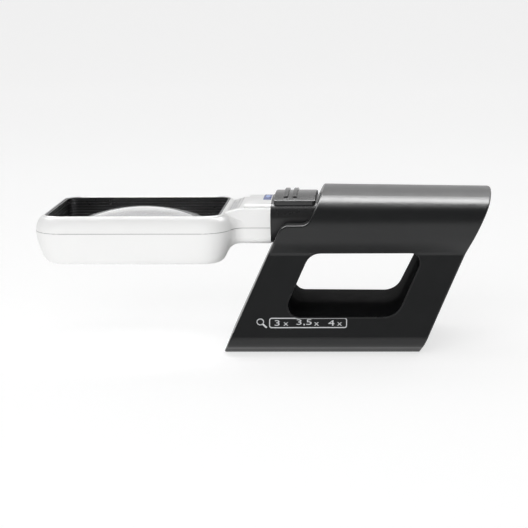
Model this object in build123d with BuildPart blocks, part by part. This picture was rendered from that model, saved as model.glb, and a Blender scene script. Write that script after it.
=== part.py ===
from build123d import *
import os

# Illuminated hand magnifier docked in its reading stand.
#
# Millimetres, +Z up. +X runs from the lens towards the heel of the stand and Y = 0 is the
# plane of symmetry. The origin is on the table under the middle of the whole object.

os.makedirs("parts", exist_ok=True)


def save(builder, name):
    """Label a finished piece and write it as its own STEP file."""
    builder.part.label = name
    export_step(builder.part, f"parts/{name}.step")


# ---------------------------------------------------------------- driving dimensions
# Stand
SLANT = 0.46                 # X run per unit of height of the front and rear faces
SLANT_STRETCH = 1.1          # a slanted wall's thickness measured along X, over its thickness
FOOT_FRONT = -18.0           # X of the front face at table level
FOOT_REAR = 68.4             # X of the rear face at table level
FOOT_GAP = 0.6               # table to the underside of the shell
TOP_FRONT = 71.6             # ridge height at the mouth
TOP_REAR = 70.2              # ridge height at the heel
STATION_FRONT = -30.0        # X of the section ahead of the stand
STATION_REAR = 110.0         # X of the section behind the stand
WIDEN_FRONT = 1.10           # section width ahead of the stand, over its nominal width
WIDEN_REAR = 0.99            # section width behind the stand, over its nominal width
STAND_WALL = 2.2
WAIST_Z = 43.8               # height of the crease between the sleeve and the flared sides
WAIST_ROUND = 2.0
END_ROUND = 0.8              # softened edges of the front and rear faces
LEDGE_Z = 57.5               # height of the step in the mouth
MOUTH_SETBACK = 11.5         # upper lip of the mouth behind the front face
FLOOR_TOP = 46.9             # sleeve floor
FLOOR_THICK = 2.0

ACROSS = 120.0               # wider than the whole stand
SIDE_PLANE = Plane.XZ.offset(-ACROSS / 2)   # side outlines start here and run across

# Grip opening through the stand, corners of its side outline before rounding
HOLE_LOW_Z = 17.0
HOLE_HIGH_Z = 44.1
HOLE_FRONT = 0.2             # X of the front edge line at table level
HOLE_LENGTH = 50.4

# Lens head
HEAD_X = -57.2               # middle of the head
HEAD_LENGTH = 87.2
HEAD_WIDTH = 63.0
HEAD_CORNER = 13.0
PARTING_Z = 54.9             # joint between the upper and lower shells
RIM_Z = 61.9
RIM_LIP = 1.7                # the rim overhangs the recess behind the bezel
LIP_THICK = 2.6
HEAD_BOTTOM = 40.2
OPENING_LENGTH = 78.0
OPENING_WIDTH = 52.0
OPENING_CORNER = 5.5
BEZEL_WALL = 1.0
BEZEL_TOP = 61.6
RIB_PITCH = 1.3
RIB_DEPTH = 0.35
RIB_GROOVE = 0.6             # width of the groove between two ribs
RIB_COUNT = 11
LENS_LENGTH = 74.0
LENS_WIDTH = 49.0
LENS_CORNER = 4.0
LENS_TOP = 61.0
LENS_BOTTOM = 41.6
LENS_TOP_RADIUS = 75.0
LENS_BOTTOM_RADIUS = 250.0
FLANGE_Z = 45.6              # the lens sits on a flange along its two long sides
FLANGE_THICK = 1.1
FLANGE_LENGTH = 60.0
FLANGE_WIDTH = 53.4
POCKET_GAP = 0.4             # lens and flange to their pocket, both sides together

# Neck and grip
NECK_HALF = 17.2
NECK_BOTTOM = 47.5
NECK_FLARE = 6.0             # hollow radius between the head and the neck
NECK_ROOF = 60.6             # top of the neck's core, under its deck
DECK_START = -17.8           # the deck rises from the head's rim
DECK_LEVEL = -11.0           # and is level from here
DECK_TOP = 63.4
NECK_END = 3.1               # white plastic ends, black grip starts
RAISED_START = -7.4          # start of the raised pad under the switch
GRIP_HALF = 18.0
GRIP_BOTTOM = 47.3
GRIP_TOP = 66.5
GRIP_END = 78.0
GRIP_WALL = 1.9
COVER_START = 27.0           # battery cover begins
FIT_GAP = 0.3                # gap between pieces that slide on each other
BORE_GAP = 0.35              # gap round the grip in the sleeve

# Switch
SLIDER_START = 4.3
SLIDER_LENGTH = 18.5
SLIDER_HALF = 14.5
SLIDER_TOP = 68.6
SLIDER_THICK = 1.8
SLIDER_CROWN = 2.2           # fall of the slider's top from the middle to its edge
SLIDER_TRAVEL = 4.5

# Cells, size AAA
CELL_RADIUS = 5.2
CELL_LENGTH = 43.7
CELL_START = 28.6
CELL_PITCH = 10.6
CELL_Z = 56.7


def head_rectangle(length, width, corner):
    """Rounded rectangle in the open sketch, centred on the head."""
    with Locations((HEAD_X, 0)):
        RectangleRounded(length, width, corner)


# ---------------------------------------------------------------- stand, outer form
def stand_section(station, widen, top, inset):
    """Cross-section of the stand: oval sleeve, pinched waist, flared sides, tucked foot."""
    crown = (15.0 * widen - inset / 4, top - 2.1 - inset)
    side = (24.9 * widen - inset, 57.3)
    waist = (19.2 * widen - inset, WAIST_Z)
    foot = (28.3 * widen - inset, 8.6)
    tuck = (25.6 * widen - inset, 2.9 + 0.8 * inset)
    floor = (23.0 * widen - inset, FOOT_GAP + inset)
    with BuildSketch(Plane.YZ.offset(station)) as section:
        with BuildLine():
            ThreePointArc((0, top - inset), (crown[0] / 2, top - 0.55 - inset), crown)
            Spline(crown, side, tangents=[(1, -0.28), (0, -1)])
            Spline(side, waist, tangents=[(0, -1), (-0.55, -1)])
            ThreePointArc(waist, (23.2 * widen - inset, 26.2), foot)
            ThreePointArc(foot, (27.9 * widen - inset, 5.2 + inset / 2), tuck)
            Polyline(tuck, floor, (0, floor[1]), (0, top - inset))
        make_face()
        mirror(about=Plane.YZ)
    return section.sketch


def slanted(x_at_table, z):
    """Point on a slanted line that meets the table at x_at_table."""
    return (x_at_table + SLANT * z, z)


def stand_side(inset):
    """Side outline of the stand, with the stepped mouth at its upper front."""
    run = inset * SLANT_STRETCH
    front = FOOT_FRONT + run
    rear = FOOT_REAR - run
    mouth = FOOT_FRONT + MOUTH_SETBACK + run
    ledge = LEDGE_Z - inset
    with BuildSketch(SIDE_PLANE) as outline:
        with BuildLine():
            Polyline(
                slanted(front, 0),
                slanted(rear, 0),
                slanted(rear, TOP_FRONT + 2),
                slanted(mouth, TOP_FRONT + 2),
                slanted(mouth, ledge),
                slanted(front, ledge),
                close=True,
            )
        make_face()
        step_corners = outline.vertices().sort_by(Axis.X)[1:3]
        fillet(step_corners, radius=5.0)
    return outline.sketch


def stand_form(inset):
    """Solid form of the stand, drawn in by a wall thickness on every face."""
    with BuildPart() as form:
        add(stand_section(STATION_FRONT, WIDEN_FRONT, TOP_FRONT + 0.5, inset))
        add(stand_section(STATION_REAR, WIDEN_REAR, TOP_REAR - 0.2, inset))
        loft(ruled=True)
        add(stand_side(inset))
        extrude(amount=ACROSS, dir=(0, -1, 0), mode=Mode.INTERSECT)
    return form.part


def on_line(point, x_at_table):
    """Whether a point lies on the slanted plane that meets the table at x_at_table."""
    return abs(point.X - x_at_table - SLANT * point.Z) < 0.8


def stand_outside():
    """Outer form of the stand with its waist and the edges of its end faces softened."""
    sharp = stand_form(0)
    waist = [edge for edge in sharp.edges() if abs(edge.center().Z - WAIST_Z) < 1.5 and edge.length > 60]
    form = sharp.fillet(WAIST_ROUND, waist)
    above_foot = [edge for edge in form.edges() if edge.length < 60 and edge.center().Z > 1]
    rear = [edge for edge in above_foot if on_line(edge.center(), FOOT_REAR)]
    form = form.fillet(END_ROUND, rear)
    above_foot = [edge for edge in form.edges() if edge.length < 60 and edge.center().Z > 1]
    front = []
    for edge in above_foot:
        behind = edge.center().X - FOOT_FRONT - SLANT * edge.center().Z
        if behind < MOUTH_SETBACK + 1 and abs(edge.center().Y) > 1:
            front.append(edge)
    return form.fillet(END_ROUND, front)


def grip_opening(grow):
    """Side outline of the grip opening, grown by the thickness of its tunnel wall."""
    low_front = slanted(HOLE_FRONT, HOLE_LOW_Z)
    low_rear = slanted(HOLE_FRONT + HOLE_LENGTH, HOLE_LOW_Z)
    high_rear = slanted(HOLE_FRONT + HOLE_LENGTH, HOLE_HIGH_Z)
    high_front = slanted(HOLE_FRONT, HOLE_HIGH_Z)
    with BuildSketch(SIDE_PLANE) as outline:
        with BuildLine():
            Polyline(low_front, low_rear, high_rear, high_front, close=True)
        make_face()
        fillet(outline.vertices().sort_by(Axis.X)[0], radius=5.0)
        fillet(outline.vertices().sort_by(Axis.X)[-1], radius=4.0)
        fillet(outline.vertices().group_by(Axis.Y)[0].sort_by(Axis.X)[-1], radius=9.0)
        fillet(outline.vertices().group_by(Axis.Y)[-1].sort_by(Axis.X)[0], radius=7.5)
        if grow > 0:
            offset(amount=grow)
    return outline.sketch


def grip_profile(station, grow):
    """Cross-section of the black grip: round below, softly crowned on top."""
    side = GRIP_HALF + grow
    low = GRIP_BOTTOM - grow
    high = GRIP_TOP + grow
    shoulder = (11.5 + 0.3 * grow, high - 1.3)
    with BuildSketch(Plane.YZ.offset(station)) as profile:
        with BuildLine():
            Line((0, low), (10, low))
            ThreePointArc(
                (10, low), (10 + (8 + grow) * 0.70711, low + (8 + grow) * 0.29289), (side, GRIP_BOTTOM + 8)
            )
            Line((side, GRIP_BOTTOM + 8), (side, 58.8))
            ThreePointArc((side, 58.8), (16.2 + 0.8 * grow, 63.2 + 0.6 * grow), shoulder)
            ThreePointArc(shoulder, (shoulder[0] / 2, high - 0.33), (0, high))
            Line((0, high), (0, low))
        make_face()
        mirror(about=Plane.YZ)
    return profile.sketch


def block(x_span, y_span, z_span, mode=Mode.ADD):
    """Box between two X, two Y and two Z values."""
    size = [high - low for low, high in (x_span, y_span, z_span)]
    middle = [(high + low) / 2 for low, high in (x_span, y_span, z_span)]
    with Locations(tuple(middle)):
        Box(*size, mode=mode)


# ---------------------------------------------------------------- stand
PLATE_X = (-13.6, 65.6)
PLATE_HALF = 20.5
PLATE_CORNER = 5.0
PLATE_Z = 1.2                # underside of the bottom plate
PLATE_THICK = 2.0
POST_X = (-7.0, 58.0)
POST_Y = 14.5
POST_RADIUS = 3.6
POST_TOP = 16.0
SCREW_CORE = 1.2
HEAD_RADIUS = 2.4
plate_middle = sum(PLATE_X) / 2
plate_length = PLATE_X[1] - PLATE_X[0]
post_places = [(x, y) for x in POST_X for y in (-POST_Y, POST_Y)]

# Space inside the shell wall, left open round the tunnel of the grip opening
with BuildPart() as cavity:
    add(stand_form(STAND_WALL))
    add(grip_opening(STAND_WALL))
    extrude(amount=ACROSS, dir=(0, -1, 0), mode=Mode.SUBTRACT)
    block((-20, 110), (-40, 40), (FLOOR_TOP - FLOOR_THICK, FLOOR_TOP), mode=Mode.SUBTRACT)

with BuildPart() as stand_shell:
    add(stand_outside())
    add(cavity.part, mode=Mode.SUBTRACT)
    add(grip_opening(0))
    extrude(amount=ACROSS, dir=(0, -1, 0), mode=Mode.SUBTRACT)
    add(grip_profile(-25, BORE_GAP))
    extrude(amount=25 + 88, dir=(1, 0, 0), mode=Mode.SUBTRACT)
    with BuildSketch(Plane.XY):
        with Locations((plate_middle, 0)):
            RectangleRounded(plate_length + 0.3, 2 * PLATE_HALF + 0.3, PLATE_CORNER)
    extrude(amount=PLATE_Z + PLATE_THICK, mode=Mode.SUBTRACT)
    with BuildSketch(Plane.XY.offset(PLATE_Z + PLATE_THICK)):
        with Locations(*post_places):
            Circle(POST_RADIUS)
    extrude(amount=POST_TOP - PLATE_Z - PLATE_THICK)
    with BuildSketch(Plane.XY.offset(PLATE_Z + PLATE_THICK)):
        with Locations(*post_places):
            Circle(SCREW_CORE)
    extrude(amount=8, mode=Mode.SUBTRACT)
save(stand_shell, "stand_shell")

FOOT_RADIUS = 5.0
FOOT_HEIGHT = 2.0
foot_places = [(x, y) for x in (3.0, 48.0) for y in (-14.5, 14.5)]

with BuildPart() as bottom_plate:
    with BuildSketch(Plane.XY.offset(PLATE_Z)):
        with Locations((plate_middle, 0)):
            RectangleRounded(plate_length, 2 * PLATE_HALF, PLATE_CORNER)
    extrude(amount=PLATE_THICK)
    with BuildSketch(Plane.XY.offset(PLATE_Z)):
        with Locations(*foot_places):
            Circle(FOOT_RADIUS)
    extrude(amount=FOOT_HEIGHT - PLATE_Z, mode=Mode.SUBTRACT)
    with Locations(*[(x, y, PLATE_Z) for x, y in post_places]):
        Cylinder(SCREW_CORE + 0.2, 10, mode=Mode.SUBTRACT)
        Cylinder(HEAD_RADIUS + 0.2, 2.4, mode=Mode.SUBTRACT)
save(bottom_plate, "bottom_plate")

with BuildPart() as plate_screws:
    with BuildSketch(Plane.XY.offset(PLATE_Z)):
        with Locations(*post_places):
            Circle(HEAD_RADIUS)
    extrude(amount=1.2)
    with BuildSketch(Plane.XY.offset(PLATE_Z + 1.2)):
        with Locations(*post_places):
            Circle(SCREW_CORE)
    extrude(amount=8)
    with BuildSketch(Plane.XY.offset(PLATE_Z)):
        with Locations(*post_places):
            Rectangle(2.6, 0.6)
            Rectangle(0.6, 2.6)
    extrude(amount=0.7, mode=Mode.SUBTRACT)
save(plate_screws, "plate_screws")

with BuildPart() as rubber_feet:
    with BuildSketch(Plane.XY):
        with Locations(*foot_places):
            Circle(FOOT_RADIUS - 0.1)
    extrude(amount=FOOT_HEIGHT)
    chamfer(rubber_feet.edges().group_by(Axis.Z)[0], length=0.4)
save(rubber_feet, "rubber_feet")

with BuildPart() as ballast_weight:
    with BuildSketch(Plane.XY.offset(PLATE_Z + PLATE_THICK)):
        with Locations((plate_middle, 0)):
            RectangleRounded(POST_X[1] - POST_X[0] - 10, 34, 4)
    extrude(amount=10.5)
    chamfer(ballast_weight.edges().group_by(Axis.Z)[-1], length=1)
save(ballast_weight, "ballast_weight")

RAIL_Z = (52.0, 60.0)
with BuildPart() as guide_rails:
    add(cavity.part)
    with BuildPart(mode=Mode.PRIVATE) as rail_space:
        for side in (-1, 1):
            inner, outer = sorted((side * (GRIP_HALF + 0.3), side * 40))
            block((26, 86), (inner, outer), RAIL_Z)
    add(rail_space.part, mode=Mode.INTERSECT)
save(guide_rails, "guide_rails")

SPRING_X = (46.0, 74.0)
with BuildPart() as catch_spring:
    with BuildSketch(Plane.XZ.offset(-4)):
        with BuildLine():
            start = (SPRING_X[0], GRIP_TOP + 1.4)
            middle = ((SPRING_X[0] + SPRING_X[1]) / 2, GRIP_TOP + 0.35)
            finish = (SPRING_X[1], GRIP_TOP + 1.4)
            leaf = ThreePointArc(start, middle, finish)
            offset(leaf, amount=0.3, side=Side.LEFT)
        make_face()
    extrude(amount=8)
save(catch_spring, "catch_spring")


# ---------------------------------------------------------------- lens head and neck
def head_ring_profile(upper):
    """Section of the head's frame at its near long side: pillow outside, open inside."""
    outside = -HEAD_WIDTH / 2
    inside = -OPENING_WIDTH / 2
    with BuildSketch(Plane.YZ.offset(HEAD_X)) as profile:
        with BuildLine():
            if upper:
                lip = (inside - 1.6, RIM_Z - 0.15)
                Spline((outside, PARTING_Z), lip, tangents=[(0, 1), (1, 0.55)])
                ThreePointArc(lip, (inside - 0.9, RIM_Z), (inside, RIM_Z - 0.35))
                Polyline((inside, RIM_Z - 0.35), (inside, PARTING_Z), (outside, PARTING_Z))
            else:
                heel = (outside + 7.4, HEAD_BOTTOM)
                keel = (outside + 2.3, HEAD_BOTTOM + 4.6)
                Spline((outside, PARTING_Z), keel, tangents=[(0, -1), (0.34, -1)])
                Spline(keel, heel, tangents=[(0.34, -1), (1, 0)])
                Polyline(heel, (inside + 3, HEAD_BOTTOM), (inside + 3, PARTING_Z), (outside, PARTING_Z))
        make_face()
    return profile.sketch


def head_ring(upper):
    """Frame of the head: its section carried round the rounded rectangle of the plan."""
    with BuildPart() as ring:
        with BuildLine(Plane.XY.offset(PARTING_Z)) as route:
            far_x = HEAD_LENGTH / 2
            far_y = HEAD_WIDTH / 2
            straight_x = far_x - HEAD_CORNER
            straight_y = far_y - HEAD_CORNER
            turn = HEAD_CORNER * (1 - 0.70711)
            left = HEAD_X - far_x
            right = HEAD_X + far_x
            Line((HEAD_X, -far_y), (HEAD_X + straight_x, -far_y))
            ThreePointArc(
                (HEAD_X + straight_x, -far_y), (right - turn, -far_y + turn), (right, -straight_y)
            )
            Line((right, -straight_y), (right, straight_y))
            ThreePointArc(
                (right, straight_y), (right - turn, far_y - turn), (HEAD_X + straight_x, far_y)
            )
            Line((HEAD_X + straight_x, far_y), (HEAD_X - straight_x, far_y))
            ThreePointArc(
                (HEAD_X - straight_x, far_y), (left + turn, far_y - turn), (left, straight_y)
            )
            Line((left, straight_y), (left, -straight_y))
            ThreePointArc(
                (left, -straight_y), (left + turn, -far_y + turn), (HEAD_X - straight_x, -far_y)
            )
            Line((HEAD_X - straight_x, -far_y), (HEAD_X, -far_y))
        add(head_ring_profile(upper))
        sweep(path=route.wires()[0])
    return ring.part


def slab(length, width, corner, low, high, mode=Mode.ADD):
    """Rounded rectangular slab centred on the head."""
    with BuildSketch(Plane.XY.offset(low)) as outline:
        head_rectangle(length, width, corner)
    extrude(outline.sketch, amount=high - low, mode=mode)


def at_neck(edge):
    """Whether an edge runs where the neck's core meets the end of the head."""
    centre = edge.center()
    across = abs(centre.Y) < NECK_HALF + 0.5
    return across and DECK_START - 1 < centre.X < DECK_START + 6 and edge.geom_type != GeomType.LINE


# Outside of the head and neck as one form, before it is hollowed and parted
with BuildPart() as neck_deck:
    with BuildSketch(Plane.XZ.offset(-NECK_HALF)):
        with BuildLine():
            Polyline(
                (DECK_START, NECK_ROOF - 3),
                (DECK_START, RIM_Z - 0.3),
                (DECK_LEVEL, DECK_TOP),
                (NECK_END, DECK_TOP),
                (NECK_END, NECK_ROOF - 3),
                close=True,
            )
        make_face()
    extrude(amount=2 * NECK_HALF)
    deck_sides = neck_deck.edges().filter_by(lambda edge: abs(edge.center().Y) > NECK_HALF - 0.1)
    fillet(deck_sides.filter_by(lambda edge: edge.center().Z > RIM_Z), radius=1.3)

with BuildPart() as head_form:
    add(head_ring(True))
    add(head_ring(False))
    slab(OPENING_LENGTH + 2, OPENING_WIDTH + 2, 6, PARTING_Z, RIM_Z - 0.35)
    slab(OPENING_LENGTH - 4, OPENING_WIDTH - 4, 6, HEAD_BOTTOM, PARTING_Z)
    with BuildSketch(Plane.YZ.offset(DECK_START - 2)) as core_section:
        with Locations((0, (NECK_ROOF + NECK_BOTTOM) / 2)):
            RectangleRounded(2 * NECK_HALF, NECK_ROOF - NECK_BOTTOM, 3.2)
    extrude(core_section.sketch, amount=NECK_END - DECK_START + 2, dir=(1, 0, 0))
    fillet(head_form.edges().filter_by(at_neck), radius=NECK_FLARE)
    add(neck_deck.part)


# Screw posts shared by the shells, and the places of the screws in them
HOUSING_POSTS = [(-9.0, -10.5), (-9.0, 10.5), (22.6, -12.0), (22.6, 12.0)]
NECK_POSTS = HOUSING_POSTS[:2]
GRIP_POSTS = HOUSING_POSTS[2:]
HOUSING_POST_RADIUS = 2.6
CHANNEL_HALF = 14.0
MARK_X = (-0.8, 2.7)         # blue mark ahead of the switch
MARK_HALF = 7.0
MARK_Z = 65.4
CHANNEL_ROOF = 61.2
RAISED_TOP = 66.3
LABEL_LENGTH = 5.2
LABEL_WIDTH = 27.6
LABEL_DEPTH = 0.25
deck_rise = Vector(DECK_LEVEL - DECK_START, 0, DECK_TOP - RIM_Z + 0.3).normalized()
label_centre = (DECK_START + 4.2, 0, RIM_Z - 0.3 - 0.25 + 4.2 * deck_rise.Z / deck_rise.X)
LABEL_PLANE = Plane(origin=label_centre, x_dir=deck_rise, z_dir=(-deck_rise.Z, 0, deck_rise.X))
LAMP_POCKET_Z = 43.6
LAMP_POCKET_HALF = 9.0
WINDOW_X = (-19.95, -19.2)
WINDOW_HALF = 6.9
WINDOW_TOP = 46.7
LAMP_BACK = -17.2            # back of the pocket behind the lamp board
WIRE_BACK = -16.4            # back of the pocket where the leads drop


def posts(places, low, high, radius, mode=Mode.ADD):
    """Upright round posts or holes between two heights."""
    with BuildSketch(Plane.XY.offset(low)) as circles:
        with Locations(*places):
            Circle(radius)
    extrude(circles.sketch, amount=high - low, mode=mode)


with BuildPart() as head_upper_shell:
    add(head_form.part)
    split(bisect_by=Plane.XY.offset(PARTING_Z), keep=Keep.TOP)
    with BuildSketch(Plane.XZ.offset(-SLIDER_HALF)):
        with BuildLine():
            ramp_foot = (RAISED_START - 1.6, DECK_TOP - 0.1)
            ramp_head = (RAISED_START, RAISED_TOP)
            Polyline(ramp_foot, ramp_head, (NECK_END, RAISED_TOP), (NECK_END, DECK_TOP - 0.1), close=True)
        make_face()
    extrude(amount=2 * SLIDER_HALF)
    with BuildPart(mode=Mode.PRIVATE) as crown_space:
        add(grip_profile(RAISED_START - 2, -0.2))
        extrude(amount=20, dir=(1, 0, 0))
        block((RAISED_START - 60, 30), (-60, 60), (PARTING_Z, DECK_TOP))
        block((-200, RAISED_START), (-60, 60), (PARTING_Z, DECK_TOP))
    add(crown_space.part, mode=Mode.INTERSECT)
    recess = 2 * RIM_LIP
    under_lip = RIM_Z - LIP_THICK
    slab(OPENING_LENGTH + recess, OPENING_WIDTH + recess, OPENING_CORNER, PARTING_Z, under_lip, Mode.SUBTRACT)
    slab(OPENING_LENGTH, OPENING_WIDTH, OPENING_CORNER, PARTING_Z, RIM_Z + 3, Mode.SUBTRACT)
    block((-16, NECK_END), (-CHANNEL_HALF, CHANNEL_HALF), (PARTING_Z, CHANNEL_ROOF), mode=Mode.SUBTRACT)
    posts(NECK_POSTS, PARTING_Z, CHANNEL_ROOF + 0.2, HOUSING_POST_RADIUS)
    posts(NECK_POSTS, PARTING_Z, 60.0, SCREW_CORE, mode=Mode.SUBTRACT)
    with BuildSketch(LABEL_PLANE):
        Rectangle(LABEL_LENGTH + 0.3, LABEL_WIDTH + 0.4)
    extrude(amount=2, mode=Mode.SUBTRACT)
    block(MARK_X, (-MARK_HALF, MARK_HALF), (MARK_Z, 67), mode=Mode.SUBTRACT)
save(head_upper_shell, "head_upper_shell")

with BuildPart() as head_lower_shell:
    add(head_form.part)
    split(bisect_by=Plane.XY.offset(PARTING_Z), keep=Keep.BOTTOM)
    pocket_length = LENS_LENGTH + POCKET_GAP
    seat_length = FLANGE_LENGTH + POCKET_GAP
    slab(pocket_length, LENS_WIDTH + POCKET_GAP, LENS_CORNER, HEAD_BOTTOM - 1, PARTING_Z, Mode.SUBTRACT)
    slab(seat_length, FLANGE_WIDTH + POCKET_GAP, LENS_CORNER, FLANGE_Z, PARTING_Z, Mode.SUBTRACT)
    opening_foot = FLANGE_Z + FLANGE_THICK
    slab(OPENING_LENGTH, OPENING_WIDTH, OPENING_CORNER, opening_foot, PARTING_Z, Mode.SUBTRACT)
    lamp_width = (-LAMP_POCKET_HALF, LAMP_POCKET_HALF)
    window_width = (-WINDOW_HALF - 0.1, WINDOW_HALF + 0.1)
    channel_width = (-CHANNEL_HALF, CHANNEL_HALF)
    block((WINDOW_X[1], LAMP_BACK), lamp_width, (LAMP_POCKET_Z, PARTING_Z), Mode.SUBTRACT)
    block((LAMP_BACK, WIRE_BACK), lamp_width, (LAMP_POCKET_Z + 1.6, PARTING_Z), Mode.SUBTRACT)
    block((WINDOW_X[0] - 1, WINDOW_X[1]), window_width, (LAMP_POCKET_Z, WINDOW_TOP + 0.1), Mode.SUBTRACT)
    block((WIRE_BACK, NECK_END), channel_width, (NECK_BOTTOM + 2, PARTING_Z), Mode.SUBTRACT)
    posts(NECK_POSTS, NECK_BOTTOM + 1, PARTING_Z, HOUSING_POST_RADIUS)
    posts(NECK_POSTS, NECK_BOTTOM, PARTING_Z, SCREW_CORE + 0.2, mode=Mode.SUBTRACT)
    posts(NECK_POSTS, NECK_BOTTOM, NECK_BOTTOM + 1.8, HEAD_RADIUS, mode=Mode.SUBTRACT)
save(head_lower_shell, "head_lower_shell")

with BuildPart() as lens_bezel:
    bezel_length = OPENING_LENGTH - 0.3
    bezel_width = OPENING_WIDTH - 0.3
    bezel_foot = FLANGE_Z + FLANGE_THICK
    hollow = 2 * BEZEL_WALL
    slab(bezel_length, bezel_width, OPENING_CORNER - 0.15, bezel_foot, BEZEL_TOP)
    inner_corner = OPENING_CORNER - 1.1
    slab(bezel_length - hollow, bezel_width - hollow, inner_corner, bezel_foot, BEZEL_TOP, Mode.SUBTRACT)
    grooved = 2 * RIB_DEPTH - hollow
    for step in range(RIB_COUNT):
        groove_z = bezel_foot + 0.8 + step * RIB_PITCH
        groove_top = groove_z + RIB_GROOVE
        slab(bezel_length + grooved, bezel_width + grooved, 4.6, groove_z, groove_top, Mode.SUBTRACT)
    with Locations((HEAD_X, 0, LENS_TOP - LENS_TOP_RADIUS)):
        Sphere(LENS_TOP_RADIUS + 0.2, mode=Mode.SUBTRACT)
save(lens_bezel, "lens_bezel")

with BuildPart() as lens:
    slab(LENS_LENGTH, LENS_WIDTH, LENS_CORNER, LENS_BOTTOM - 1, LENS_TOP + 1)
    slab(FLANGE_LENGTH, FLANGE_WIDTH, LENS_CORNER, FLANGE_Z, FLANGE_Z + FLANGE_THICK)
    with Locations((HEAD_X, 0, LENS_TOP - LENS_TOP_RADIUS)):
        Sphere(LENS_TOP_RADIUS, mode=Mode.INTERSECT)
    with Locations((HEAD_X, 0, LENS_BOTTOM + LENS_BOTTOM_RADIUS)):
        Sphere(LENS_BOTTOM_RADIUS, mode=Mode.INTERSECT)
save(lens, "lens")

with BuildPart() as info_label:
    with BuildSketch(LABEL_PLANE):
        Rectangle(LABEL_LENGTH, LABEL_WIDTH)
    extrude(amount=LABEL_DEPTH)
save(info_label, "info_label")

with BuildPart() as colour_mark:
    add(grip_profile(MARK_X[0], -0.15))
    extrude(amount=MARK_X[1] - MARK_X[0], dir=(1, 0, 0))
    with BuildPart(mode=Mode.PRIVATE) as mark_space:
        block(MARK_X, (-MARK_HALF, MARK_HALF), (MARK_Z, 67))
    add(mark_space.part, mode=Mode.INTERSECT)
save(colour_mark, "colour_mark")

# ---------------------------------------------------------------- light under the lens edge
with BuildPart() as led_window:
    block(WINDOW_X, (-WINDOW_HALF, WINDOW_HALF), (LAMP_POCKET_Z + 0.1, WINDOW_TOP))
save(led_window, "led_window")

with BuildPart() as led_board:
    block((-18.4, -17.4), (-8.4, 8.4), (LAMP_POCKET_Z + 0.1, 47.0))
save(led_board, "led_board")

with BuildPart() as leds:
    for lamp_y in (-4.5, 0, 4.5):
        block((-19.1, -18.4), (lamp_y - 1.5, lamp_y + 1.5), (44.6, 46.2))
save(leds, "leds")

BOARD_X = (-3.0, 18.4)
BOARD_Z = (51.6, 53.0)
WIRE_RADIUS = 0.45

with BuildPart() as led_wires:
    for wire_y in (-3.0, 3.0):
        wire_z = BOARD_Z[1] + WIRE_RADIUS
        with BuildLine() as wire_route:
            run_end = (BOARD_X[0] + 3, wire_y, wire_z)
            bend = (-16.9, wire_y, wire_z)
            drop_end = (-16.9, wire_y, 45.8)
            FilletPolyline(run_end, bend, drop_end, radius=3.0)
        with BuildSketch(Plane(origin=run_end, z_dir=(-1, 0, 0))):
            Circle(WIRE_RADIUS)
        sweep(path=wire_route.wires()[0])
save(led_wires, "led_wires")

# ---------------------------------------------------------------- grip
GRIP_ROUND = 2.5


def grip_body(start, finish, shrink=0.0):
    """Length of the grip's section, for use inside an open part."""
    add(grip_profile(start, -shrink))
    extrude(amount=finish - start, dir=(1, 0, 0))


with BuildPart() as grip_form:
    grip_body(NECK_END, GRIP_END)
    fillet(grip_form.faces().sort_by(Axis.X)[-1].edges(), radius=GRIP_ROUND)

with BuildPart() as grip_space:
    grip_body(NECK_END, GRIP_END - GRIP_WALL, GRIP_WALL)

STEM_X = (12.4, 16.4)
STEM_HALF = 3.0
slot_front = STEM_X[0] - SLIDER_TRAVEL - FIT_GAP
slot_rear = STEM_X[1] + FIT_GAP
slot_half = STEM_HALF + FIT_GAP

with BuildPart() as grip_upper_shell:
    add(grip_form.part)
    add(grip_space.part, mode=Mode.SUBTRACT)
    posts(GRIP_POSTS, 54.0, 64.0, HOUSING_POST_RADIUS)
    posts(GRIP_POSTS, 54.0, 60.0, SCREW_CORE, mode=Mode.SUBTRACT)
    block((slot_front, slot_rear), (-slot_half, slot_half), (60, 70), mode=Mode.SUBTRACT)
    split(bisect_by=Plane.XY.offset(PARTING_Z), keep=Keep.TOP)
    block((COVER_START, GRIP_END + 1), (-20, 20), (PARTING_Z - 1, PARTING_Z + FIT_GAP), mode=Mode.SUBTRACT)
save(grip_upper_shell, "grip_upper_shell")

with BuildPart() as grip_lower_shell:
    add(grip_form.part)
    add(grip_space.part, mode=Mode.SUBTRACT)
    posts(GRIP_POSTS, GRIP_BOTTOM + 1, PARTING_Z, HOUSING_POST_RADIUS)
    posts(GRIP_POSTS, GRIP_BOTTOM - 1, PARTING_Z, SCREW_CORE + 0.2, mode=Mode.SUBTRACT)
    posts(GRIP_POSTS, GRIP_BOTTOM - 1, GRIP_BOTTOM + 2.2, HEAD_RADIUS, mode=Mode.SUBTRACT)
    split(bisect_by=Plane.XY.offset(PARTING_Z), keep=Keep.BOTTOM)
    split(bisect_by=Plane.YZ.offset(COVER_START - FIT_GAP), keep=Keep.BOTTOM)
save(grip_lower_shell, "grip_lower_shell")

with BuildPart() as battery_cover:
    add(grip_form.part)
    add(grip_space.part, mode=Mode.SUBTRACT)
    split(bisect_by=Plane.XY.offset(PARTING_Z), keep=Keep.BOTTOM)
    split(bisect_by=Plane.YZ.offset(COVER_START), keep=Keep.TOP)
    for rib_x in (34.0, 37.0, 40.0):
        block((rib_x, rib_x + 1.2), (-6, 6), (GRIP_BOTTOM - 1, GRIP_BOTTOM + 0.5), mode=Mode.SUBTRACT)
save(battery_cover, "battery_cover")

with BuildPart() as batteries:
    with BuildSketch(Plane.YZ.offset(CELL_START)):
        with Locations(*[(row * CELL_PITCH, CELL_Z) for row in (-1, 0, 1)]):
            Circle(CELL_RADIUS)
    extrude(amount=CELL_LENGTH)
    with BuildSketch(Plane.YZ.offset(CELL_START + CELL_LENGTH)):
        with Locations(*[(row * CELL_PITCH, CELL_Z) for row in (-1, 0, 1)]):
            Circle(1.9)
    extrude(amount=0.8)
save(batteries, "batteries")

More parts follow.
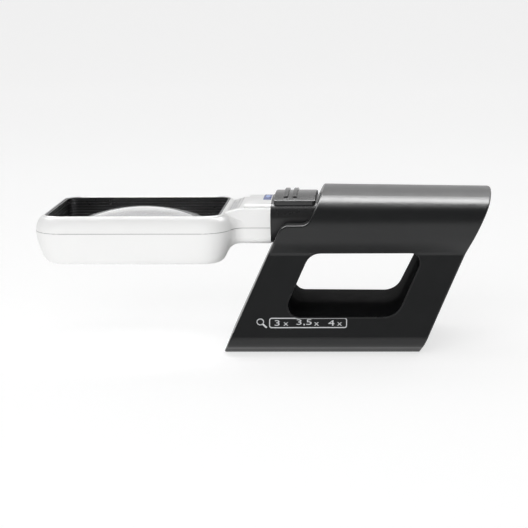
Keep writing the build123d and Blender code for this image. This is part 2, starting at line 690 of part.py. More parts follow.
with BuildPart() as contact_plates:
    plate_x = CELL_START + CELL_LENGTH + 0.8
    for row in (-1, 0, 1):
        block((plate_x, plate_x + 0.4), (row * CELL_PITCH - 4, row * CELL_PITCH + 4), (56.0, 62.0))
save(contact_plates, "contact_plates")

with BuildPart() as contact_springs:
    for row in (-1, 0, 1):
        centre_y = row * CELL_PITCH
        with BuildSketch(Plane.XZ.offset(-centre_y - 3)):
            with BuildLine():
                back = (CELL_START - 2.0, 55.6)
                belly = (CELL_START - 0.4, 58.6)
                tip = (CELL_START - 2.0, 61.6)
                leaf = ThreePointArc(back, belly, tip)
                offset(leaf, amount=0.35, side=Side.LEFT)
            make_face()
        extrude(amount=6)
save(contact_springs, "contact_springs")

with BuildPart() as circuit_board:
    block(BOARD_X, (-12.5, 12.5), BOARD_Z)
    posts(NECK_POSTS, 51, 54, HOUSING_POST_RADIUS + 0.3, mode=Mode.SUBTRACT)
save(circuit_board, "circuit_board")

with BuildPart() as switch_body:
    block((4.4, 17.6), (-4.5, 4.5), (BOARD_Z[1], 57.4))
    block((slot_front + 0.5, slot_rear - 0.5), (-1.5, 1.5), (56.2, 58), mode=Mode.SUBTRACT)
save(switch_body, "switch_body")

with BuildPart() as switch_lever:
    block((STEM_X[0] + 1, STEM_X[1] - 1), (-1.0, 1.0), (56.5, 61.0))
save(switch_lever, "switch_lever")


def slider_section(station):
    """Cross-section of the crowned plate of the slider."""
    with BuildSketch(Plane.YZ.offset(station)) as section:
        with BuildLine():
            high = SLIDER_TOP
            low = SLIDER_TOP - SLIDER_THICK
            edge_high = high - SLIDER_CROWN
            edge_low = low - SLIDER_CROWN
            ThreePointArc((-SLIDER_HALF, edge_high), (0, high), (SLIDER_HALF, edge_high))
            Line((SLIDER_HALF, edge_high), (SLIDER_HALF, edge_low))
            ThreePointArc((SLIDER_HALF, edge_low), (0, low), (-SLIDER_HALF, edge_low))
            Line((-SLIDER_HALF, edge_low), (-SLIDER_HALF, edge_high))
        make_face()
    return section.sketch


RIDGE_X = (9.6, 13.5)
RIDGE_HALF = 12.0
RIDGE_WIDTH = 1.7
RIDGE_RISE = 1.0
RIDGE_FALL = 1.55            # fall of a ridge's top from the middle to its end

with BuildPart() as switch_slider:
    add(slider_section(SLIDER_START))
    extrude(amount=SLIDER_LENGTH, dir=(1, 0, 0))
    upright = switch_slider.edges().filter_by(Axis.Z)
    fillet(upright, radius=1.5)
    fillet(switch_slider.faces().sort_by(Axis.Z)[-1].edges(), radius=0.6)
    for ridge_x in RIDGE_X:
        with BuildSketch(Plane.YZ.offset(ridge_x - RIDGE_WIDTH / 2)):
            with BuildLine():
                top = SLIDER_TOP + RIDGE_RISE
                shoulder = (RIDGE_HALF - 0.8, top - RIDGE_FALL)
                edge_z = SLIDER_TOP - RIDGE_FALL
                foot_z = SLIDER_TOP - SLIDER_THICK + 0.2
                ThreePointArc((-shoulder[0], shoulder[1]), (0, top), shoulder)
                Polyline(
                    shoulder,
                    (RIDGE_HALF, edge_z),
                    (RIDGE_HALF, foot_z),
                    (-RIDGE_HALF, foot_z),
                    (-RIDGE_HALF, edge_z),
                    (-shoulder[0], shoulder[1]),
                )
            make_face()
        extrude(amount=RIDGE_WIDTH, dir=(1, 0, 0))
    block(STEM_X, (-STEM_HALF, STEM_HALF), (58.4, SLIDER_TOP - 1.2))
    block((STEM_X[0] + 1, STEM_X[1] - 1), (-1.0, 1.0), (58.0, 61.0), mode=Mode.SUBTRACT)
save(switch_slider, "switch_slider")

with BuildPart() as housing_screws:
    posts(NECK_POSTS, NECK_BOTTOM + 0.6, NECK_BOTTOM + 1.8, HEAD_RADIUS - 0.1)
    posts(GRIP_POSTS, GRIP_BOTTOM + 1.0, GRIP_BOTTOM + 2.2, HEAD_RADIUS - 0.1)
    posts(HOUSING_POSTS, NECK_BOTTOM + 1.8, 59.5, SCREW_CORE)
save(housing_screws, "housing_screws")
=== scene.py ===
"""Illuminated hand magnifier in its reading stand: materials, details, studio and camera.

Metres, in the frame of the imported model: +X from the lens to the heel of the stand, +Z up.
"""
import math

import bpy
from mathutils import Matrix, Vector
from mathutils.bvhtree import BVHTree


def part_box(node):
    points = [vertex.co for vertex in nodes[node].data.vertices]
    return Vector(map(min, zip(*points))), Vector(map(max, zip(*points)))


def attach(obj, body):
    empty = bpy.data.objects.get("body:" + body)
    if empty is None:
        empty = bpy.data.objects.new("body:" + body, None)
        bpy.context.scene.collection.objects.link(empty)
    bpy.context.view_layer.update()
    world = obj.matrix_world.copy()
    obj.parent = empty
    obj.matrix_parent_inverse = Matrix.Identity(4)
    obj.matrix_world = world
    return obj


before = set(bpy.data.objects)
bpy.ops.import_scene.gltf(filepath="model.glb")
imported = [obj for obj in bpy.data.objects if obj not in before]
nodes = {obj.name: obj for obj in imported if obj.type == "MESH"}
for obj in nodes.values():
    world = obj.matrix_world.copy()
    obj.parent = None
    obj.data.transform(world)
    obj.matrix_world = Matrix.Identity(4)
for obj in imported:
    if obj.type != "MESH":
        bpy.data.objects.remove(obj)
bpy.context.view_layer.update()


# ---------------------------------------------------------------- materials
LINE_DEPTH = 0.00002         # fine lines in drawn metal
SPREAD_LOW, SPREAD_HIGH = 0.3, 0.7      # the part of a noise texture's range that is used


def new_material(name):
    """Empty node material with its shader, output and object coordinates."""
    material = bpy.data.materials.new(name)
    material.use_nodes = True
    tree = material.node_tree
    tree.nodes.clear()
    output = tree.nodes.new("ShaderNodeOutputMaterial")
    shader = tree.nodes.new("ShaderNodeBsdfPrincipled")
    tree.links.new(shader.outputs["BSDF"], output.inputs["Surface"])
    place = tree.nodes.new("ShaderNodeTexCoord")
    return material, tree, shader, place


def noise(tree, place, per_metre, detail=2.0, stretch=(1, 1, 1)):
    """Noise texture with a given number of cells to the metre."""
    mapping = tree.nodes.new("ShaderNodeMapping")
    mapping.inputs["Scale"].default_value = stretch
    texture = tree.nodes.new("ShaderNodeTexNoise")
    texture.inputs["Scale"].default_value = per_metre
    texture.inputs["Detail"].default_value = detail
    tree.links.new(place.outputs["Object"], mapping.inputs["Vector"])
    tree.links.new(mapping.outputs["Vector"], texture.inputs["Vector"])
    return texture.outputs["Fac"]


def spread(tree, factor, low, high):
    """Map a 0 to 1 factor onto a range."""
    node = tree.nodes.new("ShaderNodeMapRange")
    node.inputs["From Min"].default_value = SPREAD_LOW
    node.inputs["From Max"].default_value = SPREAD_HIGH
    node.inputs["To Min"].default_value = low
    node.inputs["To Max"].default_value = high
    tree.links.new(factor, node.inputs["Value"])
    return node.outputs["Result"]


def tint(tree, factor, dark, light):
    """Mix two colours by a factor."""
    node = tree.nodes.new("ShaderNodeMix")
    node.data_type = "RGBA"
    node.inputs["A"].default_value = (*dark, 1)
    node.inputs["B"].default_value = (*light, 1)
    tree.links.new(factor, node.inputs["Factor"])
    return node.outputs["Result"]


def bump(tree, shader, height, depth):
    """Bump of a given depth in metres."""
    node = tree.nodes.new("ShaderNodeBump")
    node.inputs["Strength"].default_value = 1.0
    node.inputs["Distance"].default_value = depth
    tree.links.new(height, node.inputs["Height"])
    tree.links.new(node.outputs["Normal"], shader.inputs["Normal"])


def moulded_plastic(name, dark, light, roughness, grain, depth):
    """Moulded plastic: slight colour drift, uneven gloss, and grain in cells to the metre and metres deep."""
    material, tree, shader, place = new_material(name)
    drift = noise(tree, place, per_metre=45.0)
    tree.links.new(tint(tree, drift, dark, light), shader.inputs["Base Color"])
    patches = noise(tree, place, per_metre=160.0, detail=4.0)
    gloss = spread(tree, patches, roughness[0], roughness[1])
    tree.links.new(gloss, shader.inputs["Roughness"])
    bump(tree, shader, noise(tree, place, grain, 3.0), depth)
    return material


def metal(name, dark, light, roughness):
    """Drawn or ground metal with fine lines along X."""
    material, tree, shader, place = new_material(name)
    lines = noise(tree, place, per_metre=900.0, detail=3.0, stretch=(0.05, 1, 1))
    tree.links.new(tint(tree, lines, dark, light), shader.inputs["Base Color"])
    tree.links.new(spread(tree, lines, *roughness), shader.inputs["Roughness"])
    shader.inputs["Metallic"].default_value = 1.0
    bump(tree, shader, lines, LINE_DEPTH)
    return material


def clear_plastic(name, colour, ior, clear):
    """Polished acrylic, with a little haze where it is not quite clear."""
    material, tree, shader, place = new_material(name)
    shader.inputs["Base Color"].default_value = (*colour, 1)
    shader.inputs["Transmission Weight"].default_value = clear
    shader.inputs["IOR"].default_value = ior
    haze = noise(tree, place, per_metre=120.0)
    tree.links.new(spread(tree, haze, 0.0, 0.015), shader.inputs["Roughness"])
    return material


def satin_black(name, dark, light, roughness, grain, depth, mirror=0.45):
    """Black plastic that mirrors a given share of the pale room."""
    material = moulded_plastic(name, dark, light, roughness, grain, depth)
    material.node_tree.nodes["Principled BSDF"].inputs["Specular IOR Level"].default_value = mirror
    return material


WHITE = moulded_plastic(
    "white_plastic", (0.83, 0.83, 0.825), (0.86, 0.86, 0.853), (0.28, 0.36), 2600.0, 0.000004,
)
STAND = satin_black(
    "stand_black", (0.008, 0.0084, 0.0088), (0.011, 0.0115, 0.012), (0.29, 0.34), 3200.0, 0.000006,
)
# painted shade: near-black, matt, almost unreflecting black that darkens the walls of the grip opening
TUNNEL_SHADE = satin_black(
    "tunnel_painted_shade", (0.0020, 0.0021, 0.0023), (0.003, 0.0032, 0.0035), (0.9, 1.0), 3200.0, 0.000008, 0.03,
)
BLACK = satin_black(
    "black_plastic", (0.012, 0.0125, 0.013), (0.017, 0.0175, 0.018), (0.36, 0.44), 3200.0, 0.00001,
)
GRIP = satin_black(
    "grip_black", (0.012, 0.012, 0.0125), (0.016, 0.016, 0.0165), (0.26, 0.32), 3200.0, 0.000006,
)
SWITCH = moulded_plastic(
    "switch_black", (0.022, 0.022, 0.0225), (0.030, 0.030, 0.0305), (0.20, 0.25), 3000.0, 0.000005,
)
BEZEL = moulded_plastic(
    "bezel_black", (0.010, 0.010, 0.0105), (0.015, 0.015, 0.0155), (0.26, 0.34), 2500.0, 0.000004,
)
RUBBER = moulded_plastic(
    "foot_rubber", (0.016, 0.016, 0.016), (0.024, 0.024, 0.024), (0.75, 0.9), 1800.0, 0.00003,
)
LABEL = moulded_plastic(
    "label_grey", (0.56, 0.56, 0.56), (0.62, 0.62, 0.62), (0.45, 0.55), 2000.0, 0.000004,
)
PRINT = moulded_plastic(
    "label_print", (0.30, 0.30, 0.31), (0.36, 0.36, 0.37), (0.5, 0.6), 2000.0, 0.000003,
)
INK = moulded_plastic("pale_ink", (0.50, 0.51, 0.52), (0.60, 0.61, 0.62), (0.5, 0.6), 2500.0, 0.000003)
SEAM = moulded_plastic(
    "seam_shadow", (0.22, 0.22, 0.22), (0.28, 0.28, 0.28), (0.6, 0.7), 2000.0, 0.000003,
)
BLUE = moulded_plastic(
    "mark_blue", (0.012, 0.045, 0.25), (0.018, 0.06, 0.31), (0.25, 0.32), 2000.0, 0.000003,
)
DOT = moulded_plastic(
    "mark_dot", (0.28, 0.42, 0.85), (0.34, 0.50, 0.92), (0.25, 0.32), 2000.0, 0.000003,
)
BOARD = moulded_plastic(
    "circuit_green", (0.01, 0.10, 0.04), (0.02, 0.16, 0.07), (0.3, 0.45), 1500.0, 0.00001,
)
LAMP = moulded_plastic("lamp_white", (0.85, 0.8, 0.45), (0.9, 0.86, 0.55), (0.3, 0.4), 1500.0, 0.000005)
WIRE = moulded_plastic("wire_red", (0.32, 0.02, 0.02), (0.42, 0.03, 0.03), (0.4, 0.5), 1500.0, 0.000005)
CELL = moulded_plastic(
    "cell_sleeve", (0.10, 0.11, 0.14), (0.13, 0.14, 0.18), (0.25, 0.35), 1500.0, 0.000004,
)
SPRING = metal("spring_steel", (0.5, 0.5, 0.51), (0.62, 0.62, 0.63), (0.2, 0.35))
STEEL = metal("ballast_steel", (0.3, 0.3, 0.31), (0.42, 0.42, 0.43), (0.35, 0.55))
SCREW = metal("screw_steel", (0.5, 0.5, 0.5), (0.6, 0.6, 0.6), (0.25, 0.4))
LENS = clear_plastic("lens_acrylic", (0.995, 0.998, 1.0), 1.49, 0.72)
WINDOW = clear_plastic("clear_window", (0.97, 0.98, 1.0), 1.49, 1.0)

FINISHES = {
    STAND: ("stand_shell",),
    BLACK: ("bottom_plate", "guide_rails", "switch_lever"),
    RUBBER: ("rubber_feet",),
    STEEL: ("ballast_weight",),
    SCREW: ("plate_screws", "housing_screws"),
    SPRING: ("catch_spring", "contact_plates", "contact_springs", "switch_body"),
    WHITE: ("head_upper_shell", "head_lower_shell"),
    BEZEL: ("lens_bezel",),
    LENS: ("lens",),
    LABEL: ("info_label",),
    BLUE: ("colour_mark",),
    WINDOW: ("led_window",),
    BOARD: ("led_board", "circuit_board"),
    LAMP: ("leds",),
    WIRE: ("led_wires",),
    GRIP: ("grip_upper_shell", "grip_lower_shell", "battery_cover"),
    CELL: ("batteries",),
    SWITCH: ("switch_slider",),
}


def dress(node, material):
    """Give a CAD node its material."""
    slots = nodes[node].data.materials
    slots.clear()
    slots.append(material)


for finish, names in FINISHES.items():
    for node_name in names:
        dress(node_name, finish)


# ---------------------------------------------------------------- printed and moulded details, and painted shade in the grip opening
INK_THICK = 0.00008
CAPITAL_SHARE = 0.73         # height of a figure in the built-in font, over its size

# magnification scale on the near side: where its frame's lower left corner lies, and the frame's size
FRAME_X, FRAME_Z = 0.0029, 0.0127
FRAME_LENGTH, FRAME_HEIGHT = 0.0337, 0.0039
FRAME_CORNER, FRAME_STEP = 0.0009, 0.0006
CORNER_PARTS = 6
STROKE = 0.00021             # half the width of the frame's line
# figures and crosses, each with its distance from the frame's left end
SCALE_MARKS = ((0.0022, "3"), (0.0061, "x"), (0.0118, "3,5"), (0.0195, "x"), (0.0256, "4"), (0.0296, "x"))
FIGURE_HEIGHT, FIGURE_WIDEN = 0.0024, 1.85
CROSS_HEIGHT, CROSS_WIDEN = 0.95 * FIGURE_HEIGHT, 1.35
FIGURE_RISE = 0.0008

# small magnifier sign in front of the scale
SIGN_BACK, SIGN_RISE = 0.0041, 0.0024
GLASS_RING, RING_SQUASH = 0.00145, 0.85
RING_STROKE, HANDLE_STROKE = 0.00018, 0.00034
HANDLE_START, HANDLE_STEP = (0.0010, -0.0009), (0.00031, -0.00025)
HANDLE_POINTS = 7

# bars on the label: place along X, then start and finish along Y, as shares of the label
LABEL_ROWS = (
    (0.22, 0.06, 0.52),
    (0.22, 0.60, 0.92),
    (0.45, 0.06, 0.74),
    (0.68, 0.06, 0.40),
    (0.68, 0.48, 0.92),
)
BAR_STROKE, BAR_PARTS = 0.00028, 12

SPOT_RADIUS, SPOT_STRETCH = 0.0011, 3
SPOT_RINGS = 5
ROUND_PARTS = 28             # points round the sign's ring and the spot

# seam of the head, probed a little above the parting
SEAM_RADIUS = 0.00014
SEAM_DEPTH = 0.00005
SEAM_PROBE = 0.0004
SEAM_STEP = 0.0004
HEAD_END, HEAD_MIDDLE = -0.0136, -0.0572
HEAD_REACH = 0.08
HEAD_START, HEAD_SWEEP = 28, 304        # degrees round the head, leaving out the neck
HEAD_PARTS, NECK_PARTS = 120, 24
NECK_OVERLAP, NECK_SHORT = 0.006, 0.0002

# grip opening in the side view, where the stand leans by a share of its height
STAND_SLANT = 0.46
HOLE_FRONT, HOLE_LENGTH = 0.0002, 0.0504
HOLE_LOW, HOLE_HIGH = 0.0170, 0.0441
HOLE_ARC, HOLE_STEP = 12, 0.002
BEAD_OUT = 0.0003
BEAD_RADIUS = 0.00035
BEAD_DEPTH = 0.00020
# painted-shade liner in the grip opening: how far it stands out of the walls, how deep it is sunk into them,
# how far short of each side face it stops
LINER_PROUD = 0.00006
LINER_SUNK = 0.0006
LINER_SHORT = 0.0003
PROBE_REACH = 0.1            # a ray starts this far out, clear of the object


def node_tree(*names):
    """Search tree over the meshes of CAD nodes."""
    corners = []
    faces = []
    for name in names:
        mesh = nodes[name].data
        start = len(corners)
        corners.extend(vertex.co.copy() for vertex in mesh.vertices)
        faces.extend([start + index for index in face.vertices] for face in mesh.polygons)
    return BVHTree.FromPolygons(corners, faces)


def new_piece(name, mesh, material, body):
    """Add a finished mesh as a piece that rides on a body."""
    mesh.materials.clear()
    mesh.materials.append(material)
    piece = bpy.data.objects.new(name, mesh)
    bpy.context.scene.collection.objects.link(piece)
    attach(piece, body)
    return piece


def flat_mesh(curve):
    """Solid mesh of a flat curve or text, which lies in its own XY plane."""
    holder = bpy.data.objects.new("outline", curve)
    bpy.context.scene.collection.objects.link(holder)
    bpy.context.view_layer.update()
    mesh = bpy.data.meshes.new_from_object(holder.evaluated_get(bpy.context.evaluated_depsgraph_get()))
    bpy.data.objects.remove(holder)
    return mesh


def letters(text, height, widen):
    """Solid mesh of a few characters, its lower left corner at the origin."""
    curve = bpy.data.curves.new("characters", "FONT")
    curve.body = text
    curve.size = height / CAPITAL_SHARE
    curve.extrude = INK_THICK / 2
    curve.resolution_u = 4
    mesh = flat_mesh(curve)
    left = min(vertex.co.x for vertex in mesh.vertices)
    low = min(vertex.co.y for vertex in mesh.vertices)
    for vertex in mesh.vertices:
        vertex.co.x = (vertex.co.x - left) * widen
        vertex.co.y = vertex.co.y - low
    return mesh


def band_mesh(points, half, closed):
    """Solid flat band along points in the XY plane."""
    count = len(points)
    corners = []
    for index, point in enumerate(points):
        before = points[index - 1] if closed or index > 0 else point
        after = points[(index + 1) % count] if closed or index < count - 1 else point
        along = (Vector(after) - Vector(before)).normalized()
        across = Vector((-along.y, along.x)) * half
        for side in (-1, 1):
            for face in (-1, 1):
                corners.append((point[0] + side * across.x, point[1] + side * across.y, face * INK_THICK / 2))
    faces = []
    spans = count if closed else count - 1
    for index in range(spans):
        a = 4 * index
        b = 4 * ((index + 1) % count)
        for one, two in ((0, 1), (1, 3), (3, 2), (2, 0)):
            faces.append((a + one, a + two, b + two, b + one))
    if not closed:
        last = 4 * (count - 1)
        faces.append((0, 2, 3, 1))
        faces.append((last, last + 1, last + 3, last + 2))
    mesh = bpy.data.meshes.new("band")
    mesh.from_pydata(corners, [], faces)
    return mesh


def rounded_frame(width, height, corner, step):
    """Points round a rounded rectangle from its lower left corner, about a step apart."""
    centres = ((width - corner, corner, -90), (width - corner, height - corner, 0))
    centres += ((corner, height - corner, 90), (corner, corner, 180))
    turn = []
    for x, y, start in centres:
        for part in range(CORNER_PARTS + 1):
            angle = math.radians(start + 90 * part / CORNER_PARTS)
            turn.append((x + corner * math.cos(angle), y + corner * math.sin(angle)))
    points = []
    for index, point in enumerate(turn):
        following = turn[(index + 1) % len(turn)]
        gap = (Vector(following) - Vector(point)).length
        pieces = max(1, round(gap / step))
        for part in range(pieces):
            points.append(tuple(Vector(point).lerp(Vector(following), part / pieces)))
    return points


def wrap_on_side(mesh, surface, x, z):
    """Lay a flat solid on the near side of the stand, its origin at x and z."""
    for vertex in mesh.vertices:
        place = Vector((x + vertex.co.x, -PROBE_REACH, z + vertex.co.y))
        hit = surface.ray_cast(place, Vector((0, 1, 0)))
        normal = hit[1] if hit[1].y < 0 else -hit[1]
        vertex.co = hit[0] + normal * vertex.co.z
    return mesh


def print_scale():
    """Magnification scale on the near side: a framed row of figures and a magnifier sign."""
    surface = node_tree("stand_shell")
    outline = rounded_frame(FRAME_LENGTH, FRAME_HEIGHT, FRAME_CORNER, FRAME_STEP)
    frame_band = band_mesh(outline, STROKE, True)
    new_piece("scale_frame", wrap_on_side(frame_band, surface, FRAME_X, FRAME_Z), INK, "base")
    for index, (offset, text) in enumerate(SCALE_MARKS):
        if text == "x":
            mark = letters(text, CROSS_HEIGHT, CROSS_WIDEN)
        else:
            mark = letters(text, FIGURE_HEIGHT, FIGURE_WIDEN)
        wrap_on_side(mark, surface, FRAME_X + offset, FRAME_Z + FIGURE_RISE)
        new_piece(f"scale_figure_{index + 1}", mark, INK, "base")
    centre = (FRAME_X - SIGN_BACK, FRAME_Z + SIGN_RISE)
    ring = []
    for part in range(ROUND_PARTS):
        angle = 2 * math.pi * part / ROUND_PARTS
        ring.append((GLASS_RING * math.cos(angle), RING_SQUASH * GLASS_RING * math.sin(angle)))
    ring_band = band_mesh(ring, RING_STROKE, True)
    new_piece("sign_ring", wrap_on_side(ring_band, surface, *centre), INK, "base")
    handle = []
    for part in range(HANDLE_POINTS):
        handle.append((HANDLE_START[0] + HANDLE_STEP[0] * part, HANDLE_START[1] + HANDLE_STEP[1] * part))
    handle_band = band_mesh(handle, HANDLE_STROKE, False)
    new_piece("sign_handle", wrap_on_side(handle_band, surface, *centre), INK, "base")


def drop_on_top(mesh, surface):
    """Lay a flat solid given in plan on the surface below it."""
    for vertex in mesh.vertices:
        hit = surface.ray_cast(Vector((vertex.co.x, vertex.co.y, PROBE_REACH)), Vector((0, 0, -1)))
        normal = hit[1] if hit[1].z > 0 else -hit[1]
        vertex.co = hit[0] + normal * vertex.co.z
    return mesh


def print_label():
    """Plain bars on the grey label where its small print would be."""
    surface = node_tree("info_label")
    low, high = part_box("info_label")
    for index, (along, start, finish) in enumerate(LABEL_ROWS):
        x = low[0] + along * (high[0] - low[0])
        y_start = low[1] + start * (high[1] - low[1])
        y_finish = low[1] + finish * (high[1] - low[1])
        points = [(x, y_start + (y_finish - y_start) * part / BAR_PARTS) for part in range(BAR_PARTS + 1)]
        bar = drop_on_top(band_mesh(points, BAR_STROKE, False), surface)
        new_piece(f"label_bar_{index + 1}", bar, PRINT, "magnifier")


def mark_spot():
    """Round lighter spot in the middle of the blue mark."""
    low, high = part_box("colour_mark")
    centre_x = (low[0] + high[0]) / 2
    surface = node_tree("colour_mark")
    rings = SPOT_RINGS
    parts = ROUND_PARTS
    corners = [(centre_x, 0, INK_THICK)]
    for ring in range(1, rings + 1):
        share = ring / rings
        reach = SPOT_RADIUS * share
        rise = INK_THICK * (1 - share ** 4) if ring < rings else -INK_THICK
        for part in range(parts):
            angle = 2 * math.pi * part / parts
            corners.append((centre_x + reach * math.cos(angle), SPOT_STRETCH * reach * math.sin(angle), rise))
    faces = [(0, 1 + part, 1 + (part + 1) % parts) for part in range(parts)]
    for ring in range(1, rings):
        for part in range(parts):
            a = 1 + (ring - 1) * parts + part
            b = 1 + (ring - 1) * parts + (part + 1) % parts
            faces.append((a, a + parts, b + parts, b))
    under = len(corners)
    corners.append((centre_x, 0, -INK_THICK))
    rim = 1 + (rings - 1) * parts
    faces.extend((under, rim + (part + 1) % parts, rim + part) for part in range(parts))
    mesh = bpy.data.meshes.new("spot")
    mesh.from_pydata(corners, [], faces)
    new_piece("mark_spot", drop_on_top(mesh, surface), DOT, "magnifier")


def parting_seam():
    """Fine shadow line where the head's upper and lower shells meet."""
    low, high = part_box("head_upper_shell")
    level = low[2]
    middle = Vector(((low[0] + high[0]) / 2, 0, 0))
    surface = node_tree("head_upper_shell", "head_lower_shell")
    head_middle = Vector((HEAD_MIDDLE, 0, level + SEAM_PROBE))
    head = []
    for part in range(HEAD_PARTS + 1):
        angle = math.radians(HEAD_START + HEAD_SWEEP * part / HEAD_PARTS)
        aim = Vector((math.cos(angle), math.sin(angle), 0))
        head.append(surface.ray_cast(head_middle + aim * HEAD_REACH, -aim)[0])
    neck_start = HEAD_END - NECK_OVERLAP
    neck_length = high[0] - NECK_SHORT - neck_start
    necks = []
    for side in (1, -1):
        run = []
        for part in range(NECK_PARTS + 1):
            x = neck_start + neck_length * part / NECK_PARTS
            place = Vector((x, side * PROBE_REACH / 2, level + SEAM_PROBE))
            run.append(surface.ray_cast(place, Vector((0, -side, 0)))[0])
        necks.append(run)
    route = list(reversed(necks[0])) + head + necks[1]
    clean = [route[0]]
    for point in route[1:]:
        if (point - clean[-1]).length > SEAM_STEP:
            clean.append(point)
    curve = bpy.data.curves.new("parting_seam", "CURVE")
    curve.dimensions = "3D"
    curve.bevel_depth = SEAM_RADIUS
    curve.bevel_resolution = 2
    spline = curve.splines.new("POLY")
    spline.points.add(len(clean) - 1)
    for target, point in zip(spline.points, clean):
        inward = middle - point
        inward.z = 0
        if point.x > HEAD_END:
            inward = Vector((0, -point.y, 0))
        place = point + inward.normalized() * SEAM_DEPTH
        target.co = (place.x, place.y, level, 1)
    curve.use_fill_caps = True
    new_piece("parting_seam", flat_mesh(curve), SEAM, "magnifier")


def opening_outline(out):
    """Points round the grip opening in the side view, moved out from its edge."""
    corners = (
        (HOLE_FRONT, HOLE_LOW, 0.005),
        (HOLE_FRONT + HOLE_LENGTH, HOLE_LOW, 0.009),
        (HOLE_FRONT + HOLE_LENGTH, HOLE_HIGH, 0.004),
        (HOLE_FRONT, HOLE_HIGH, 0.0075),
    )
    sharp = [Vector((x + STAND_SLANT * z, z)) for x, z, radius in corners]
    rounded = []
    for index, corner in enumerate(sharp):
        before = (sharp[index - 1] - corner).normalized()
        after = (sharp[(index + 1) % 4] - corner).normalized()
        half_angle = before.angle(after) / 2
        radius = corners[index][2]
        run = radius / math.tan(half_angle)
        middle = corner + (before + after).normalized() * radius / math.sin(half_angle)
        first = corner + before * run - middle
        sweep = first.angle_signed(corner + after * run - middle)
        for part in range(HOLE_ARC + 1):
            turn = -sweep * part / HOLE_ARC
            x = first.x * math.cos(turn) - first.y * math.sin(turn)
            z = first.x * math.sin(turn) + first.y * math.cos(turn)
            rounded.append(middle + Vector((x, z)) * (1 + out / radius))
    points = []
    for index, point in enumerate(rounded):
        following = rounded[(index + 1) % len(rounded)]
        pieces = max(1, round((following - point).length / HOLE_STEP))
        points.extend(point.lerp(following, part / pieces) for part in range(pieces))
    return points


def opening_bead():
    """Softened edge round the grip opening, on both sides of the stand."""
    surface = node_tree("stand_shell")
    route = opening_outline(BEAD_OUT)
    for side, name in ((-1, "near"), (1, "far")):
        curve = bpy.data.curves.new("bead", "CURVE")
        curve.dimensions = "3D"
        curve.bevel_depth = BEAD_RADIUS
        curve.bevel_resolution = 3
        spline = curve.splines.new("POLY")
        spline.points.add(len(route) - 1)
        for target, point in zip(spline.points, route):
            start = Vector((point.x, side * PROBE_REACH, point.y))
            hit = surface.ray_cast(start, Vector((0, -side, 0)))
            place = hit[0] - Vector((0, side, 0)) * BEAD_DEPTH
            target.co = (place.x, place.y, place.z, 1)
        spline.use_cyclic_u = True
        new_piece(f"opening_edge_{name}", flat_mesh(curve), GRIP, "base")


def opening_shade_liner():
    """Painted shade: a near-black, matt skin on the walls of the grip opening, darker than the stand, most of
    its thickness sunk into them.
    """
    surface = node_tree("stand_shell")
    seen = opening_outline(-LINER_PROUD)
    sunk = opening_outline(LINER_SUNK)
    guide = opening_outline(BEAD_OUT)
    corners = []
    for inner, outer, probe in zip(seen, sunk, guide):
        for side in (-1, 1):
            start = Vector((probe.x, side * PROBE_REACH, probe.y))
            hit = surface.ray_cast(start, Vector((0, -side, 0)))
            y = hit[0].y - side * LINER_SHORT
            corners.append((inner.x, y, inner.y))
            corners.append((outer.x, y, outer.y))
    faces = []
    count = len(seen)
    for index in range(count):
        a = 4 * index
        b = 4 * ((index + 1) % count)
        for one, two in ((0, 2), (2, 3), (3, 1), (1, 0)):
            faces.append((a + one, a + two, b + two, b + one))
    mesh = bpy.data.meshes.new("liner")
    mesh.from_pydata(corners, [], faces)
    mesh.shade_smooth()
    new_piece("opening_shade_liner", mesh, TUNNEL_SHADE, "base")


print_scale()
print_label()
mark_spot()
parting_seam()
opening_bead()
opening_shade_liner()


# ---------------------------------------------------------------- studio
def make_floor():
    """Plain pale table that rises in a smooth curve behind the object."""
    material, tree, shader, place = new_material("floor_paper")
    shader.inputs["Base Color"].default_value = (0.42, 0.42, 0.42, 1)
    shader.inputs["Roughness"].default_value = 0.9
    shader.inputs["Specular IOR Level"].default_value = 0.1
    shader.inputs["Emission Color"].default_value = (1, 1, 1, 1)
    shader.inputs["Emission Strength"].default_value = 0.66
    half_width, front, back, bend, wall = 4.0, -3.0, 1.2, 0.8, 3.0
    bend_parts = 12
    profile = [(front, 0.0), (back, 0.0)]
    for step in range(1, bend_parts + 1):
        angle = math.radians(90 * step / bend_parts)
        profile.append((back + bend * math.sin(angle), bend - bend * math.cos(angle)))
    profile.append((back + bend, wall))
    corners = [(x, y, z) for y, z in profile for x in (-half_width, half_width)]
    faces = [(2 * i, 2 * i + 1, 2 * i + 3, 2 * i + 2) for i in range(len(profile) - 1)]
    mesh = bpy.data.meshes.new("floor")
    mesh.from_pydata(corners, [], faces)
    mesh.shade_smooth()
    floor = bpy.data.objects.new("floor", mesh)
    bpy.context.scene.collection.objects.link(floor)
    mesh.materials.append(material)


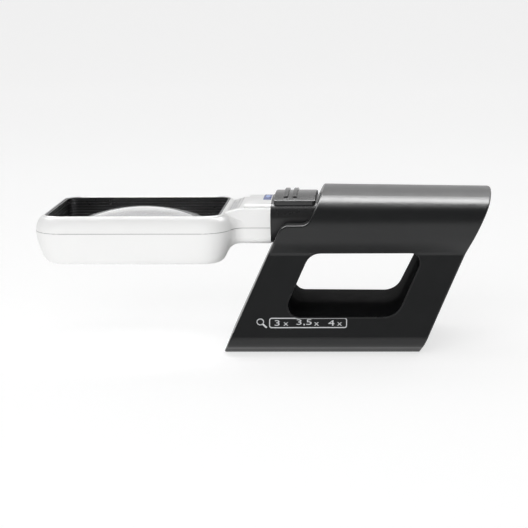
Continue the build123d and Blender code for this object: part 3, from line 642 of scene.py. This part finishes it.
def area_light(name, place, target, size, power):
    """Soft rectangular light aimed at a point."""
    lamp = bpy.data.lights.new(name, "AREA")
    lamp.shape = "RECTANGLE"
    lamp.size = size[0]
    lamp.size_y = size[1]
    lamp.energy = power
    light = bpy.data.objects.new(name, lamp)
    light.location = place
    aim = Vector(target) - Vector(place)
    light.rotation_euler = aim.to_track_quat("-Z", "Y").to_euler()
    bpy.context.scene.collection.objects.link(light)
    return light


def make_studio():
    """Dim room, a soft top light, a strip seen only in reflections, a front fill that is not, and a sun."""
    world = bpy.data.worlds.new("studio")
    world.use_nodes = True
    background = world.node_tree.nodes["Background"]
    background.inputs["Color"].default_value = (1, 1, 1, 1)
    background.inputs["Strength"].default_value = 0.12
    bpy.context.scene.world = world
    area_light("top_light", (0.0, 0.05, 0.9), (0, -0.02, 0.05), (1.2, 0.3), 1.6)
    strip = area_light("strip_light", (0.0, 0.42, 0.8), (0, -0.01, 0.06), (1.6, 0.34), 24.0)
    strip.visible_diffuse = False
    fill = area_light("front_light", (-0.25, -1.0, 0.5), (0, 0, 0.05), (1.2, 0.9), 7.8)
    fill.visible_glossy = False
    sun = bpy.data.lights.new("room_light", "SUN")
    sun.energy = 0.36
    sun.angle = math.radians(60)
    lamp = bpy.data.objects.new("room_light", sun)
    lamp.rotation_euler = (math.radians(35), 0, 0)
    lamp.visible_glossy = False
    bpy.context.scene.collection.objects.link(lamp)
    bpy.context.scene.view_settings.view_transform = "Standard"


def make_camera():
    """Camera a little above the lens, in front of the stand and turned to the whole object."""
    camera = bpy.data.cameras.new("camera")
    camera.sensor_width = 36.0
    camera.lens = 99.13
    camera.shift_x = -0.05
    rig = bpy.data.objects.new("camera", camera)
    place = Vector((0.0528, -0.6442, 0.1728))
    yaw, pitch, roll = -0.06556, 0.21026, -0.01312
    forward = Vector((math.sin(yaw) * math.cos(pitch), math.cos(yaw) * math.cos(pitch), -math.sin(pitch)))
    turn = forward.to_track_quat("-Z", "Y").to_matrix()
    side = turn.col[0] * math.cos(roll) + turn.col[1] * math.sin(roll)
    up = turn.col[1] * math.cos(roll) - turn.col[0] * math.sin(roll)
    basis = turn.copy()
    basis.col[0] = side
    basis.col[1] = up
    rig.location = place
    rig.rotation_euler = basis.to_euler()
    bpy.context.scene.collection.objects.link(rig)
    bpy.context.scene.camera = rig


make_floor()
make_studio()
make_camera()

bpy.context.view_layer.update()
